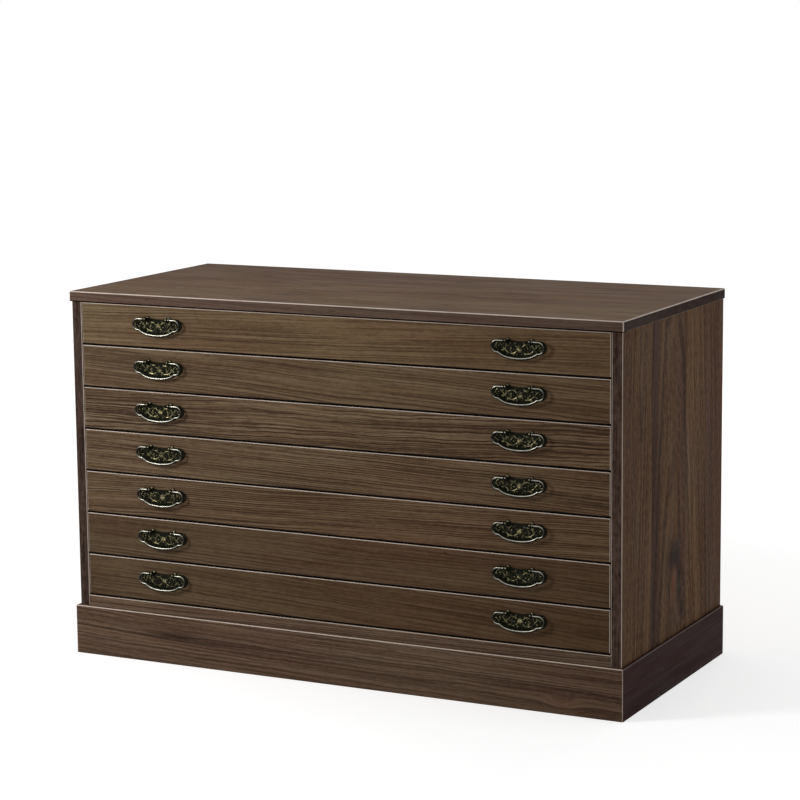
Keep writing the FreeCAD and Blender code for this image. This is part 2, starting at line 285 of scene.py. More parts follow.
# Knots, in metres: run and across are a knot's place along and across its board, length and width its
# size, and push is how far it bends the fibres. Shade is how dark it is, or how light if below zero
Knot = namedtuple("Knot", "run length across width push shade")
right_knots = (
    Knot(0.207, 0.032, 0.006, 0.027, 0.030, 0.95),
    Knot(0.176, 0.020, 0.008, 0.011, 0.0, -1.0),
    Knot(0.172, 0.022, 0.027, 0.010, 0.004, 0.95),
    Knot(0.149, 0.020, 0.033, 0.010, 0.0, 0.95),
    Knot(0.122, 0.024, 0.041, 0.008, -0.004, 0.90),
    Knot(0.165, 0.030, -0.014, 0.005, 0.0, 0.80),
    Knot(0.500, 0.080, 0.055, 0.0025, 0.0, 0.60),
    Knot(0.470, 0.060, -0.142, 0.004, 0.008, 0.60),
    Knot(0.440, 0.012, -0.137, 0.006, 0.010, 0.80),
)
left_knots = (
    Knot(0.420, 0.050, 0.075, 0.018, 0.04, 0.7),
    Knot(0.220, 0.022, -0.090, 0.007, 0.012, 0.6),
)
plinth_knots = (
    Knot(-0.300, 0.042, 0.049, 0.007, 0.004, 0.60),
    Knot(-0.225, 0.070, 0.043, 0.006, 0.003, 0.25),
    Knot(0.398, 0.026, 0.020, 0.010, 0.012, -0.5),
)

# Aged brass, with painted highlights on the crest of bail and posts that faces front and up
brass_bright = colour(0.20, 0.17, 0.075)
brass_patina = colour(0.006, 0.0065, 0.003)
post_highlight = colour(0.12, 0.10, 0.05)
bail_highlight = colour(0.33, 0.32, 0.27)
bail_patina = colour(0.012, 0.011, 0.008)
silver = colour(0.22, 0.22, 0.165)
metal_gloss = 0.05
brass_roughness = 0.30
bail_roughness = 0.28
metal_roughness_swing = 0.16
fine_waves = 900
fine_detail = 3.0
fine_noise_roughness = 0.6
coarse_waves = 160
coarse_detail = 2.0
rubbed_span = (0.40, 0.60)
relief_rubbed_levels = (0.15, 1.0)
# The painted highlight on the crest of bail and posts, which faces this direction
highlight_levels = (0.75, 1.0)
highlight_direction = Vector((0.05, -0.92, 0.38)).normalized()
highlight_span = (0.90, 0.985)
silver_span = (0.48, 0.60)
silver_strength = 0.7
metallic_span = (0.0, 0.6)
cast_relief = 0.12 * mm
relief_depths = (plate_face_y - 0.1 * mm, plate_face_y - 1.2 * mm)

# Pulls: the same outline as the solids, from the middle of the bow to the round end
wire_radius = 2.1 * mm
pull_arcs = (
    {"radius": 96.0 * mm, "turn": 10, "steps": 12},
    {"radius": 35.5 * mm, "turn": 27, "steps": 14},
    {"radius": 2.8 * mm, "turn": -42, "steps": 6},
    {"radius": 9.1 * mm, "turn": 185, "steps": 26},
)
post_half_spacing = 20.5 * mm
eye_radius = 3.8 * mm
eye_half_width = 3.0 * mm
collar_gap = 0.3 * mm
collar_length = 2.4 * mm
collar_radius = 2.9 * mm
pin_radius = 1.5 * mm

# Forms of a bail: the wire is fuller in the middle, and a collar is a bead of length and radius shares
wire_sides = 16
bow_share = 1.06
thinning_share = 0.14
collar_sides = 20
pin_reach_share = 1.6
wire_end_share = 0.9
collar_shares = ((0.0, 0.72), (0.12, 0.92), (0.3, 1.0), (0.7, 1.0), (0.88, 0.92), (1.0, 0.72))

# Forms of a post: its ball, heights over the plate and radii of its moulded foot, and distances behind
# the front board and radii of its nut and shank
ball_steps = 12
ball_end_shares = (0.92, 0.52)
foot_steps_mm = ((1.6, 2.1), (1.2, 3.0), (0.8, 3.3), (0.6, 3.1), (0.4, 3.55), (0.0, 3.6))
nut_steps_mm = ((0.0, 3.8), (0.15, 4.04), (2.8, 4.04), (3.2, 3.6))
shank_steps_mm = ((3.0, 2.0), (4.1, 2.0), (4.4, 1.6))
post_sides = 24
nut_sides = 6
shank_sides = 16

# Forms of a plate, with its rim as distances in from its edge and depths behind its face
plate_margin = 1.2 * mm
plate_dip = 1.6 * mm
boss_radius = 4.4 * mm
boss_steps = 8
dip_steps = 6
rim_steps_mm = ((0.0, 0.3), (0.3, -0.25), (0.9, -0.25), (1.3, 0.1))

# Relief of a plate, in millimetres from the middle between its pins. A stem is its radius and points,
# a leaf is x, z, its direction in degrees, its length and its width, and a bud is x, z and its radius
flower_drop = 12.5 * mm
petal_count = 6
outer_petal = {"length": 8.0 * mm, "width": 6.4 * mm, "height": 1.1 * mm, "root": 0.3 * mm}
inner_petal = {"length": 5.2 * mm, "width": 4.2 * mm, "height": 1.5 * mm, "root": 0.0}
flower_bud = {"radius": 1.8 * mm, "height": 1.8 * mm}
relief_stems = (
    (1.15, ((4, -16), (10, -19.5), (17, -19), (23, -15), (28, -9.5), (34, -4.5), (39, -6), (39.5, -11),
            (35, -13), (32.5, -10), (34.5, -8))),
    (1.0, ((5, -9), (10, -5.5), (16, -6), (19, -10), (16.5, -13.5), (13, -12.5), (13.5, -10))),
)
relief_leaves = (
    (8, -18.5, -60, 6.0, 4.0), (13, -19.0, 58, 6.5, 4.2), (17, -18.5, -30, 7.0, 4.2),
    (22.5, -14.5, 85, 8.0, 4.6), (25, -12.5, -45, 7.0, 4.2), (29, -8, 115, 5.5, 3.8),
    (37.5, -5, 50, 5.0, 3.2), (39.0, -9.5, -10, 4.2, 3.2), (35.5, -13, -62, 4.6, 3.2),
    (8.5, -6, 118, 5.0, 3.4), (18.5, -8.5, 25, 6.5, 4.2), (4.0, -18.5, -80, 6.0, 3.6),
    (12.0, -6.0, -72, 4.6, 3.2), (14.5, -5.5, 60, 4.4, 3.0),
)
relief_buds = (
    (34.6, -8.6, 1.7), (14.4, -10.8, 1.6), (22.5, -6.0, 1.3), (29.5, -15.0, 1.2), (9.5, -13.5, 1.4),
)
relief_height = 1.2 * mm
relief_root = 0.3 * mm
stem_lift = 0.1 * mm
stem_taper_share = 0.55
stem_sides = 8
curve_steps = 6

# Shape of a leaf and a bud, as shares of their sizes, and the powers that round a leaf off
leaf_rows = 7
leaf_columns = 6
leaf_round_power = 0.8
leaf_tip_share = 0.02
dome_start_share = 0.1
dome_power = 0.7
crease_depth_share = 0.35
crease_width_share = 0.22
bud_shares = ((0.3, 1.0), (0.0, 0.98), (-0.45, 0.85), (-0.8, 0.5), (-0.95, 0.2))
bud_sides = 12
sharp_angle_deg = 38


# Node helpers


class Shader:
    """Adds nodes to the tree of a material or world, one short call for each."""

    def __init__(self, owner, surface="Principled BSDF"):
        owner.use_nodes = True
        self.tree = owner.node_tree
        self.surface = self.tree.nodes[surface]

    def add(self, kind, inputs=(), **settings):
        """A new node with its settings, and numbers, colours or sockets on its inputs."""
        node = self.tree.nodes.new(kind)
        for key, value in settings.items():
            setattr(node, key, value)
        self.feed_all(node, dict(inputs))
        return node

    def feed_all(self, node, inputs):
        """Feeds several inputs of a node."""
        for key, value in inputs.items():
            self.feed(node.inputs[key], value)

    def feed(self, socket, value):
        """Links a socket to an input, or sets a plain value on it."""
        if isinstance(value, bpy.types.NodeSocket):
            self.tree.links.new(value, socket)
        else:
            socket.default_value = value

    def maths(self, operation, a, b=0.0, c=0.0):
        """A sum, product or other operation of up to three values."""
        return self.add("ShaderNodeMath", {0: a, 1: b, 2: c}, operation=operation).outputs[0]

    def span(self, value, low, high, to_low=0.0, to_high=1.0, smooth=True):
        """Value carried from one range to another, and held at its ends."""
        inputs = {"Value": value, "From Min": low, "From Max": high, "To Min": to_low, "To Max": to_high}
        kind = "SMOOTHSTEP" if smooth else "LINEAR"
        return self.add("ShaderNodeMapRange", inputs, interpolation_type=kind).outputs["Result"]

    def mask(self, value, limits, strength):
        """How far a value is from the first limit to the second, up to a strength."""
        return self.span(value, *limits, 0.0, strength)

    def vector(self, x, y, z):
        """A vector of three values."""
        return self.add("ShaderNodeCombineXYZ", {0: x, 1: y, 2: z}).outputs[0]

    def scaled(self, vector, scale):
        """A vector times a number."""
        inputs = {0: vector, 1: (scale, scale, scale)}
        return self.add("ShaderNodeVectorMath", inputs, operation="MULTIPLY").outputs[0]

    def noise(self, vector, detail, roughness=0.5):
        """Noise in 0 to 1 whose scale is the vector's own."""
        inputs = {"Vector": vector, "Scale": 1.0, "Detail": detail, "Roughness": roughness}
        return self.add("ShaderNodeTexNoise", inputs).outputs["Fac"]

    def mix(self, factor, a, b, blend="MIX"):
        """Two colours mixed by a factor."""
        node = self.add("ShaderNodeMix", data_type="RGBA", blend_type=blend)
        for key, value in (("Factor_Float", factor), ("A_Color", a), ("B_Color", b)):
            socket = next(s for s in node.inputs if s.identifier == key)
            self.feed(socket, value)
        return next(s for s in node.outputs if s.identifier == "Result_Color")

    def bump(self, height, distance):
        """A bump from a height field."""
        inputs = {"Height": height, "Strength": bump_strength, "Distance": distance}
        return self.add("ShaderNodeBump", inputs).outputs["Normal"]

    def place(self):
        """The place on the object."""
        return self.add("ShaderNodeTexCoord").outputs["Object"]

    def parts(self, vector):
        """The three parts of a vector."""
        return self.add("ShaderNodeSeparateXYZ", {0: vector}).outputs

    def seen_rays(self):
        """1 for rays from the camera or through mirrors and glass, 0 for rays that light the chest."""
        path = self.add("ShaderNodeLightPath").outputs
        seen = self.maths("MAXIMUM", path["Is Camera Ray"], path["Is Glossy Ray"])
        return self.maths("MAXIMUM", seen, path["Is Transmission Ray"])


# Wood


class Grain:
    """The fibres and growth rings of one board, as fields on its surface, in metres.

    run goes along the board from a place that its seed sets, across follows the waves of the
    fibres, and ring is the distance from the heart of the tree. shade and glow are masks of
    the dark and light knots, or None.
    """

    def __init__(self, shader, along, seed, cut, knots=()):
        self.axes = shader.parts(shader.place())
        run, straight, self.depth = (self.axes[index] for index in grain_axes[along])
        self.run = shader.maths("ADD", run, seed * seed_step)
        wander = self.swing(shader, straight, *wander_noise)
        across = shader.maths("MULTIPLY_ADD", wander, cut["wander"], straight)
        ripple = self.swing(shader, across, *ripple_noise)
        self.shade = None
        self.glow = None
        for knot in knots:
            across = self.bend_round(shader, knot, run, straight, across)
        self.across = across
        aside = shader.maths("SUBTRACT", across, cut["heart"])
        below = shader.maths("ADD", cut["heart_depth"], shader.maths("ABSOLUTE", self.depth))
        square = shader.maths("ADD", shader.maths("MULTIPLY", aside, aside), cut["heart_depth"] ** 2)
        radius = shader.maths("SQRT", square)
        radius = shader.maths("MULTIPLY_ADD", self.run, cut["taper"], radius)
        radius = shader.maths("MULTIPLY_ADD", below, depth_share, radius)
        self.ring = shader.maths("MULTIPLY_ADD", ripple, cut["ripple"], radius)

    def stretched(self, shader, across, run_waves, across_waves):
        """The place on the board, scaled along and across it."""
        return shader.vector(shader.maths("MULTIPLY", self.run, run_waves),
                             shader.maths("MULTIPLY", across, across_waves),
                             shader.maths("MULTIPLY", self.depth, across_waves))

    def swing(self, shader, across, run_waves, across_waves, detail):
        """Noise that swings about 0."""
        noise = shader.noise(self.stretched(shader, across, run_waves, across_waves), detail)
        return shader.maths("SUBTRACT", noise, noise_middle)

    def fibres(self, shader, run_waves, across_waves, detail):
        """Noise drawn out along the fibres."""
        return shader.noise(self.stretched(shader, self.across, run_waves, across_waves), detail)

    def rings(self, shader, run_waves, ring_waves, detail):
        """Noise that follows the growth rings."""
        return shader.noise(self.stretched(shader, self.ring, run_waves, ring_waves), detail)

    def bend_round(self, shader, knot, run, straight, across):
        """The fibres pushed aside by a knot, whose dark or light heart is kept as a mask."""
        run_share = shader.maths("DIVIDE", shader.maths("SUBTRACT", run, knot.run), knot.length)
        across_share = shader.maths("DIVIDE", shader.maths("SUBTRACT", straight, knot.across), knot.width)
        squares = shader.maths("ADD", shader.maths("MULTIPLY", run_share, run_share),
                               shader.maths("MULTIPLY", across_share, across_share))
        bell = shader.maths("POWER", math.e, shader.maths("MULTIPLY", squares, -1.0))
        heart = shader.maths("MULTIPLY", bell, abs(knot.shade))
        if knot.shade > 0:
            self.shade = joined(shader, self.shade, heart)
        else:
            self.glow = joined(shader, self.glow, heart)
        return shader.maths("MULTIPLY_ADD", bell, knot.push, across)


def joined(shader, mask, other):
    """The larger of two masks, where the first may be none yet."""
    return other if mask is None else shader.maths("MAXIMUM", mask, other)


def ring_lines(shader, grain, spacing):
    """Thin lines at the ends of the growth rings, that fade in and out along the board."""
    drift = grain.rings(shader, drift_waves, drift_share / spacing, soft_detail)
    rings_passed = shader.maths("DIVIDE", grain.ring, spacing)
    phase = shader.maths("FRACT", shader.maths("MULTIPLY_ADD", drift, drift_rings, rings_passed))
    line = shader.maths("MULTIPLY", shader.span(phase, *line_start_span), shader.span(phase, *line_end_span))
    fading = shader.span(grain.fibres(shader, *fading_noise), *fading_span, *fading_levels)
    return shader.maths("MULTIPLY", line, fading)


def varied(shader, tone, noise, spans, dark_strength, light_strength):
    """The tone, darker where a noise is high and lighter where it is low."""
    tone = shader.mix(shader.mask(noise, spans["dark"], dark_strength), tone, stain_dark)
    return shader.mix(shader.mask(noise, spans["light"], light_strength), tone, stain_light)


def stained_colour(shader, grain, look):
    """The colour of a stained board, with its hues, rings, flecks and knots, and its height field."""
    hue = grain.fibres(shader, *hue_noise)
    bands = grain.rings(shader, band_waves, band_share / look["spacing"], soft_detail)
    threads = grain.rings(shader, *thread_noise)
    flecks = grain.fibres(shader, *fleck_noise)
    tone = shader.mix(shader.span(hue, *hue_span), stain_olive, stain_brown)
    tone = shader.mix(shader.mask(hue, red_span, look["red"]), tone, stain_red)
    tone = varied(shader, tone, bands, band_spans, look["patches"], look["patches"] * light_patch_share)
    tone = varied(shader, tone, threads, thread_spans, look["dashes"], look["dashes"])
    tone = varied(shader, tone, flecks, fleck_spans, look["flecks"] * dark_fleck_share, look["flecks"])
    line_mask = shader.maths("MULTIPLY", ring_lines(shader, grain, look["spacing"]), look["lines"])
    dash_mask = shader.mask(grain.fibres(shader, *dash_noise), dash_span, look["dashes"] * dash_share)
    pore_mask = shader.mask(grain.fibres(shader, *pore_noise), pore_span, pore_strength)
    for mask in (line_mask, dash_mask, pore_mask):
        tone = shader.mix(mask, tone, stain_dark)
    if grain.shade is not None:
        tone = shader.mix(grain.shade, tone, knot_dark)
    if grain.glow is not None:
        tone = shader.mix(grain.glow, tone, knot_light)
    tone = shader.mix(1.0, tone, look["tint"], "MULTIPLY")
    hollow = shader.maths("MAXIMUM", pore_mask, shader.maths("MAXIMUM", dash_mask, line_mask))
    return tone, shader.maths("SUBTRACT", 1.0, hollow)


def raw_colour(shader, grain):
    """Planed paulownia without stain: pale, with soft ring lines, threads and pores."""
    patch = grain.fibres(shader, *raw_patch_noise)
    threads = shader.mask(grain.rings(shader, *thread_noise), raw_thread_span, raw_thread_strength)
    lines = shader.maths("MULTIPLY", ring_lines(shader, grain, raw_spacing), raw_line_strength)
    pores = shader.mask(grain.fibres(shader, *raw_pore_noise), pore_span, raw_pore_strength)
    tone = shader.mix(shader.span(patch, *raw_patch_span), raw_middle, raw_light)
    for mask in (threads, lines, pores):
        tone = shader.mix(mask, tone, raw_dark)
    return tone


def edge_wear(shader, grain, direction):
    """Masks of the eased edges, which lean between a board's faces: upper ones, worn and with a painted
    highlight, and down-facing ones, with painted shade.
    """
    sizes = [shader.maths("ABSOLUTE", part) for part in direction]
    largest = shader.maths("MAXIMUM", sizes[0], shader.maths("MAXIMUM", sizes[1], sizes[2]))
    eased = shader.span(largest, *eased_span)
    patchy = shader.span(grain.fibres(shader, *rubbing_noise), *rubbing_span, *rubbing_levels)
    downward = shader.span(direction[2], *downward_span)
    shadowed = shader.maths("MULTIPLY", eased, downward)
    wear_and_highlight = shader.maths("MULTIPLY", eased, shader.maths("MULTIPLY_ADD", downward, -1.0, 1.0))
    return shader.maths("MULTIPLY", wear_and_highlight, patchy), shadowed


def past_limits(shader, grain, limits):
    """1 past every limit of axis, direction and place, 0 elsewhere."""
    mask = None
    for axis, sign, place in limits:
        reach = shader.maths("SUBTRACT", grain.axes["XYZ".index(axis)], place)
        past = shader.span(shader.maths("MULTIPLY", reach, sign), -limit_blur, limit_blur)
        mask = past if mask is None else shader.maths("MULTIPLY", mask, past)
    return mask


def board_tones(shader, grain, axis, low, high, stops):
    """Tones from one place on a board's axis to another, such as those of its glued staves."""
    ramp = shader.add("ShaderNodeValToRGB")
    place = grain.axes["XYZ".index(axis)]
    shader.feed(ramp.inputs["Fac"], shader.span(place, low, high, smooth=False))
    points = ramp.color_ramp.elements
    while len(points) < len(stops):
        points.new(1.0)
    for point, (share, red, green, blue) in zip(points, stops):
        point.position = share
        point.color = colour(red, green, blue)
    return ramp.outputs["Color"]


def worn_colour(shader, grain, tone, faces, foot_shade_limits, edge):
    """The tone with the tints of some faces; upper eased edges worn and with a painted highlight, and painted
    shade on down-facing ones and where the board is past limits.
    """
    normal = shader.add("ShaderNodeNewGeometry").outputs["True Normal"]
    direction = shader.parts(normal)
    for axis, sign, tint in faces:
        facing = shader.maths("MULTIPLY", direction["XYZ".index(axis)], sign)
        tone = shader.mix(shader.span(facing, *facing_span), tone, tint, "MULTIPLY")
    wear_and_highlight, shadowed = edge_wear(shader, grain, direction)
    if foot_shade_limits:
        shadowed = shader.maths("MAXIMUM", shadowed, past_limits(shader, grain, foot_shade_limits))
    # Upper eased edges take the edge colour, wear with a painted highlight; down-facing ones and places past
    # the limits take painted shade
    tone = shader.mix(wear_and_highlight, tone, edge)
    return shader.mix(shadowed, tone, painted_shade_under)


def set_wood(shader, tone, roughness, height, gloss):
    """Feeds the colour, roughness, bump and gloss of a board to its material."""
    normal = shader.bump(height, wood_relief)
    shader.feed_all(shader.surface, {"Base Color": tone, "Roughness": roughness, "Normal": normal,
                                     "Specular IOR Level": gloss})


def stained_wood(name, along, seed, cut, look, raw_limits, knots=(), tones=(), faces=(), foot_shade_limits=(),
                 edge=worn_edge_highlight, gloss=wood_gloss):
    """The material of a stained board, which is raw wood past some limits. Grain runs along an axis."""
    material = bpy.data.materials.new(name)
    shader = Shader(material)
    grain = Grain(shader, along, seed, cut, knots)
    tone, height = stained_colour(shader, grain, look)
    if tones:
        tone = shader.mix(1.0, tone, board_tones(shader, grain, *tones), "MULTIPLY")
    tone = worn_colour(shader, grain, tone, faces, foot_shade_limits, edge)
    roughness = shader.span(grain.fibres(shader, *roughness_noise), *roughness_span, *stained_roughness)
    raw = past_limits(shader, grain, raw_limits)
    tone = shader.mix(raw, tone, raw_colour(shader, grain))
    roughness = shader.maths("MULTIPLY_ADD", raw, raw_end_roughness, roughness)
    set_wood(shader, tone, roughness, height, gloss)
    return material


def raw_wood(name, along, seed, cut):
    """The material of an unstained board."""
    material = bpy.data.materials.new(name)
    shader = Shader(material)
    grain = Grain(shader, along, seed, cut)
    height = grain.fibres(shader, *raw_fibre_noise)
    roughness = shader.span(grain.fibres(shader, *roughness_noise), *roughness_span, *raw_roughness)
    set_wood(shader, raw_colour(shader, grain), roughness, height, wood_gloss)
    return material


def dress(name, material):
    """Gives a CAD node its material."""
    slots = nodes[name].data.materials
    slots.clear()
    slots.append(material)


def dress_top():
    """The top board: darker on its narrow faces and, as painted shade, towards its back, and raw underneath.
    """
    raw_limits = (("Z", -1, top_underside_z + skin), past_front)
    faces = (("X", 1, top_end_tint), ("X", -1, top_end_tint), ("Y", -1, top_front_tint))
    tones = ("Y", side_low.y, side_high.y, top_back_shade_shares)
    dress("top_board", stained_wood("top_wood", "X", 1, top_cut, top_look, raw_limits, tones=tones,
                                    faces=faces, edge=top_worn_edge_highlight, gloss=top_gloss))


def dress_side_panels():
    """The side panels: glued staves with knots, raw on the inside."""
    panels = (
        ("right", 1, 2, right_knots, right_stave_shares, right_front_tint),
        ("left", -1, 3, left_knots, left_stave_shares, left_front_tint),
    )
    for side, sign, seed, knots, stave_shares, front_tint in panels:
        raw_limits = (("X", -sign, sign * (side_inner_x + skin)), past_front)
        tones = ("Y", side_low.y, side_high.y, stave_shares)
        material = stained_wood(side + "_side_wood", "Z", seed, panel_cut, panel_look, raw_limits, knots,
                                tones, faces=(("Y", -1, front_tint),))
        dress(side + "_side_panel", material)


def dress_rail():
    """The bottom board, whose front edge shows as a rail."""
    dress("bottom_board", stained_wood("rail_wood", "X", 4, rail_cut, rail_look, (past_front,)))


def dress_plinth():
    """The plinth's boards, raw on the inside."""
    raw_limits = (("Y", 1, plinth_inner_y - skin),)
    dress("plinth_front", stained_wood("plinth_front_wood", "X", 5, plinth_front_cut, plinth_look, raw_limits,
                                       plinth_knots))
    for side, sign, seed, cut in (("right", 1, 6, plinth_right_cut), ("left", -1, 7, plinth_left_cut)):
        raw_limits = (("X", -sign, sign * (plinth_inner_x + skin)),)
        material = stained_wood("plinth_" + side + "_wood", "Y", seed, cut, plinth_side_look, raw_limits,
                                edge=plinth_side_worn_edge_highlight)
        dress("plinth_" + side + "_side", material)
    raw_limits = (("Y", -1, plinth_back_inner_y + skin),)
    dress("plinth_back", stained_wood("plinth_back_wood", "X", 8, plinth_back_cut, plinth_back_look,
                                      raw_limits))


def dress_hidden_boards():
    """The unstained boards of the carcass."""
    dress("back_panel", raw_wood("back_wood", "Z", 9, back_cut))
    dress("drawer_runners", raw_wood("runner_wood", "Y", 10, straight_cut))
    dress("plinth_corner_blocks", raw_wood("block_wood", "Z", 11, straight_cut))


def dress_drawer(number):
    """One drawer's boards: a stained front with dark joints round it that are partly painted shade, painted
    shade along its foot, and a raw box.
    """
    name = "drawer_" + str(number)
    faces = [(axis, sign, joint_stain_and_shade_tint) for axis in "ZX" for sign in (1, -1)]
    # Painted shade along the foot of the front, which deepens the dark line of the gap below it
    foot_shade_limits = (("Z", -1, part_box(name + "_front")[0].z + foot_shade_height),)
    tones = ("X", front_low.x, front_high.x, front_tone_shares)
    material = stained_wood(name + "_front_wood", "X", front_seed + number, drawer_cuts[number],
                            drawer_looks[number], (past_front,), tones=tones, faces=faces,
                            foot_shade_limits=foot_shade_limits, edge=front_worn_edge_highlight)
    dress(name + "_front", material)
    dress(name + "_walls", raw_wood(name + "_wall_wood", "Y", wall_seed + number, straight_cut))
    dress(name + "_bottom", raw_wood(name + "_bottom_wood", "X", bottom_seed + number, drawer_bottom_cut))


# Metal


def aged_metal(name, bright, patina, roughness, depths=()):
    """Cast brass with a dark patina, rubbed bright from one depth to another, or else with a painted
    highlight along the crest that faces front and up.
    """
    material = bpy.data.materials.new(name)
    shader = Shader(material)
    place = shader.place()
    fine = shader.noise(shader.scaled(place, fine_waves), fine_detail, fine_noise_roughness)
    coarse = shader.noise(shader.scaled(place, coarse_waves), coarse_detail)
    if depths:
        wear_and_highlight = shader.span(coarse, *rubbed_span, *relief_rubbed_levels)
        proud_relief_and_lit_crest = shader.span(shader.parts(place)[1], *depths)
    else:
        wear_and_highlight = shader.span(coarse, *rubbed_span, *highlight_levels)
        facing = shader.add("ShaderNodeTexCoord").outputs["Normal"]
        lean = shader.add("ShaderNodeVectorMath", {0: facing, 1: highlight_direction}, operation="DOT_PRODUCT")
        proud_relief_and_lit_crest = shader.span(lean.outputs["Value"], *highlight_span)
    wear_and_highlight = shader.maths("MULTIPLY", wear_and_highlight, proud_relief_and_lit_crest)
    silvery = shader.mask(fine, silver_span, silver_strength)
    inputs = {
        "Base Color": shader.mix(wear_and_highlight, patina, shader.mix(silvery, bright, silver)),
        "Metallic": shader.span(wear_and_highlight, *metallic_span),
        "Specular IOR Level": metal_gloss,
        "Roughness": shader.span(fine, *roughness_span, roughness, roughness + metal_roughness_swing),
        "Normal": shader.bump(fine, cast_relief),
    }
    shader.feed_all(shader.surface, inputs)
    return material


# Mesh helpers


def piece(name, mesh, material, body):
    """A finished mesh as a piece that rides on a body."""
    thing = bpy.data.objects.new(name, mesh)
    bpy.context.scene.collection.objects.link(thing)
    mesh.materials.append(material)
    mesh.shade_smooth()
    mesh.set_sharp_from_angle(angle=math.radians(sharp_angle_deg))
    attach(thing, body)
    return thing


def outline(margin):
    """Half the outline of a pull, grown by a margin, from its lowest point; its pins are at 0."""
    points = [(0.0, 0.0)]
    heading = 0.0
    for arc in pull_arcs:
        side = math.copysign(1, arc["turn"])
        radius = arc["radius"] + side * margin
        angle = math.radians(arc["turn"])
        x, z = points[-1]
        centre_x = x - side * radius * math.sin(heading)
        centre_z = z + side * radius * math.cos(heading)
        for step in range(1, arc["steps"] + 1):
            direction = heading + angle * step / arc["steps"]
            points.append((centre_x + side * radius * math.sin(direction),
                           centre_z - side * radius * math.cos(direction)))
        heading += angle
    drop = points[-1][1]
    return [(x, z - drop + margin) for x, z in points]


def in_metres(pairs_mm):
    """Pairs of millimetres in metres."""
    return [(first * mm, second * mm) for first, second in pairs_mm]


def closed_tube(shape, rings):
    """Adds the faces of a tube through rings of vertices, with both ends closed."""
    for first, second in zip(rings, rings[1:]):
        for index in range(len(first)):
            following = (index + 1) % len(first)
            shape.faces.new((first[index], first[following], second[following], second[index]))
    shape.faces.new(rings[0][::-1])
    shape.faces.new(rings[-1])


def ring_points(centre, across, other, radius, count):
    """Points of a circle about a centre, in the plane of two directions."""
    angles = [2 * math.pi * step / count for step in range(count)]
    return [centre + (across * math.cos(angle) + other * math.sin(angle)) * radius for angle in angles]


def swept(shape, path, radii, sides_count):
    """Adds a round rod along a path to a bmesh."""
    rings = []
    normal = None
    for index, point in enumerate(path):
        before = path[max(index - 1, 0)]
        after = path[min(index + 1, len(path) - 1)]
        tangent = (after - before).normalized()
        if normal is None:
            normal = tangent.orthogonal().normalized()
        normal = (normal - tangent * normal.dot(tangent)).normalized()
        points = ring_points(point, normal, tangent.cross(normal), radii[index], sides_count)
        rings.append([shape.verts.new(place) for place in points])
    closed_tube(shape, rings)


def turned(shape, profile, centre, axis, sides_count, half_width=math.inf):
    """Adds a solid turned about an axis; profile is a list of (distance along, radius).

    With a half width, it is cut flat at that distance from its centre, left and right.
    """
    across = axis.orthogonal().normalized()
    rings = []
    for distance, radius in profile:
        points = ring_points(centre + axis * distance, across, axis.cross(across), radius, sides_count)
        for point in points:
            point.x = min(max(point.x, centre.x - half_width), centre.x + half_width)
        rings.append([shape.verts.new(point) for point in points])
    closed_tube(shape, rings)


def finished(shape, name):
    """The mesh of a bmesh, with its normals turned outwards."""
    bmesh.ops.recalc_face_normals(shape, faces=shape.faces)
    mesh = bpy.data.meshes.new(name)
    shape.to_mesh(mesh)
    shape.free()
    return mesh


def smooth_path(points):
    """Points of a smooth curve through the given ones, with curve_steps between each two."""
    path = []
    ends = [points[0]] + points + [points[-1]]
    for before, first, second, after in zip(ends, ends[1:], ends[2:], ends[3:]):
        for step in range(curve_steps):
            t = step / curve_steps
            path.append(0.5 * (2 * first + (second - before) * t
                               + (2 * before - 5 * first + 4 * second - after) * t ** 2
                               + (3 * first - before - 3 * second + after) * t ** 3))
    return path + [points[-1]]


# Pulls


def pull_centre(number, side):
    """The place of a pull on its front: x of its middle and z of its pins."""
    low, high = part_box("drawer_" + str(number) + "_" + side + "_pull")
    return Vector(((low.x + high.x) / 2, pin_y, high.z - collar_radius))


def bail_mesh(name, centre):
    """A bail: a bowed wire, fuller in the middle, with a turned collar and a pin at each end."""
    shape = bmesh.new()
    collar_inner = post_half_spacing + eye_half_width + collar_gap
    half = outline(0.0)
    half.append((collar_inner + collar_length / 2, 0.0))
    line = [(-x, z) for x, z in reversed(half)] + half[1:]
    path = [Vector((centre.x + x, centre.y, centre.z + z)) for x, z in line]
    reach = max(x for x, z in half)
    radii = [wire_radius * (bow_share - thinning_share * (abs(x) / reach) ** 2) for x, z in line]
    swept(shape, path, radii, wire_sides)
    profile = [(-eye_half_width * pin_reach_share, pin_radius), (0.0, pin_radius)]
    profile += [(run * collar_length, size * collar_radius) for run, size in collar_shares]
    profile.append((collar_length, wire_radius * wire_end_share))
    for sign in (-1, 1):
        start = Vector((centre.x + sign * collar_inner, centre.y, centre.z))
        turned(shape, profile, start, Vector((sign, 0, 0)), collar_sides)
    return finished(shape, name)


def ball_profile():
    """The round head of a post, from its front to its neck."""
    angles = [math.pi * step / ball_steps for step in range(1, ball_steps - 1)]
    profile = [(-eye_radius * math.cos(angle), eye_radius * math.sin(angle)) for angle in angles]
    return profile + [tuple(eye_radius * share for share in ball_end_shares)]


def post_mesh(name, centres):
    """Posts with a ball head, a moulded foot, a shank and a six-sided nut inside the drawer."""
    shape = bmesh.new()
    reach = plate_face_y - pin_y
    backward = Vector((0, 1, 0))
    profile = ball_profile() + [(reach - height, radius) for height, radius in in_metres(foot_steps_mm)]
    for centre in centres:
        turned(shape, profile, centre, backward, post_sides, eye_half_width)
        inside = Vector((centre.x, front_back_y, centre.z))
        turned(shape, in_metres(nut_steps_mm), inside, backward, nut_sides)
        turned(shape, in_metres(shank_steps_mm), inside, backward, shank_sides)
    return finished(shape, name)


